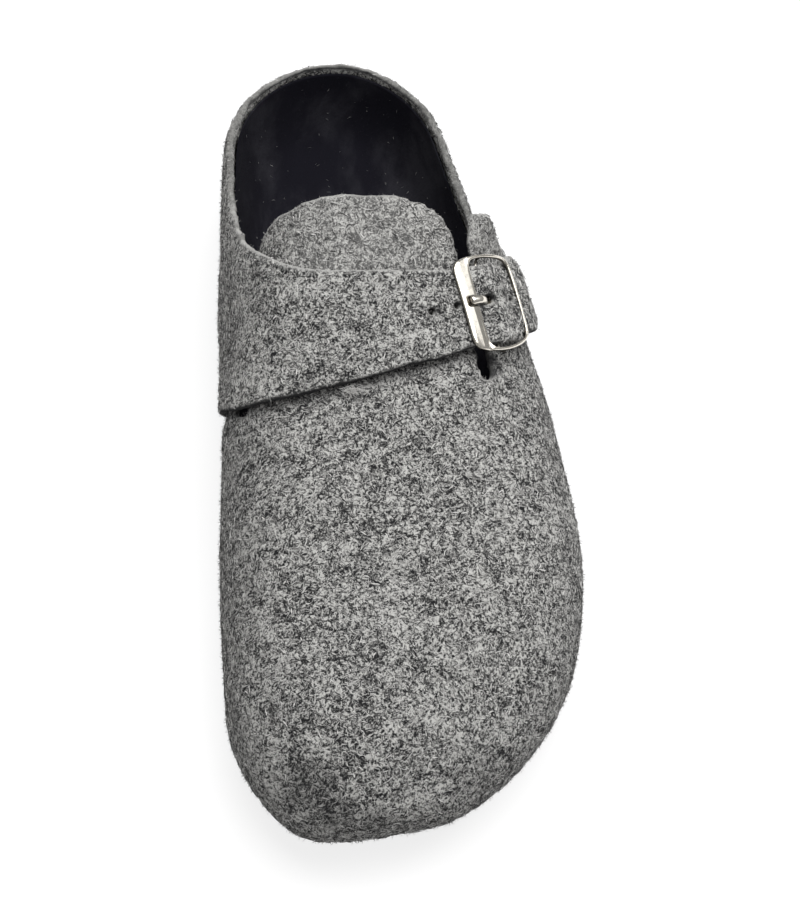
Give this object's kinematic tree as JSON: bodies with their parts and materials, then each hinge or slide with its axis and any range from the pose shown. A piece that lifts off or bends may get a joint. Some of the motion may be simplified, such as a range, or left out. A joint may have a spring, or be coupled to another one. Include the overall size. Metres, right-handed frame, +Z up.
{
  "type": "felt mule",
  "caption": "Low-backed felt mule for the left foot with a round tongue, an instep strap with a metal buckle, a cupped suede footbed and a thin rubber sole.",
  "frame": {"origin": "centre of the box in plan, on the floor the sole stands on", "axes": "+Z up, +Y from the toe to the heel, +X to the outer side of the foot"},
  "size_m": [0.1027, 0.258, 0.0855],
  "materials": {
    "sole_rubber": "matt black foam rubber",
    "footbed_suede": "black suede nap",
    "upper_felt": "grey marled wool felt",
    "strap_felt": "grey marled wool felt",
    "buckle_metal": "polished nickel",
    "prong_metal": "polished nickel"
  },
  "bodies": {
    "root": {"outsole": "sole_rubber", "footbed": "footbed_suede", "upper": "upper_felt", "heel_strap": "strap_felt", "buckle_frame": "buckle_metal", "buckle_prong": "prong_metal"}
  },
  "joints": []
}
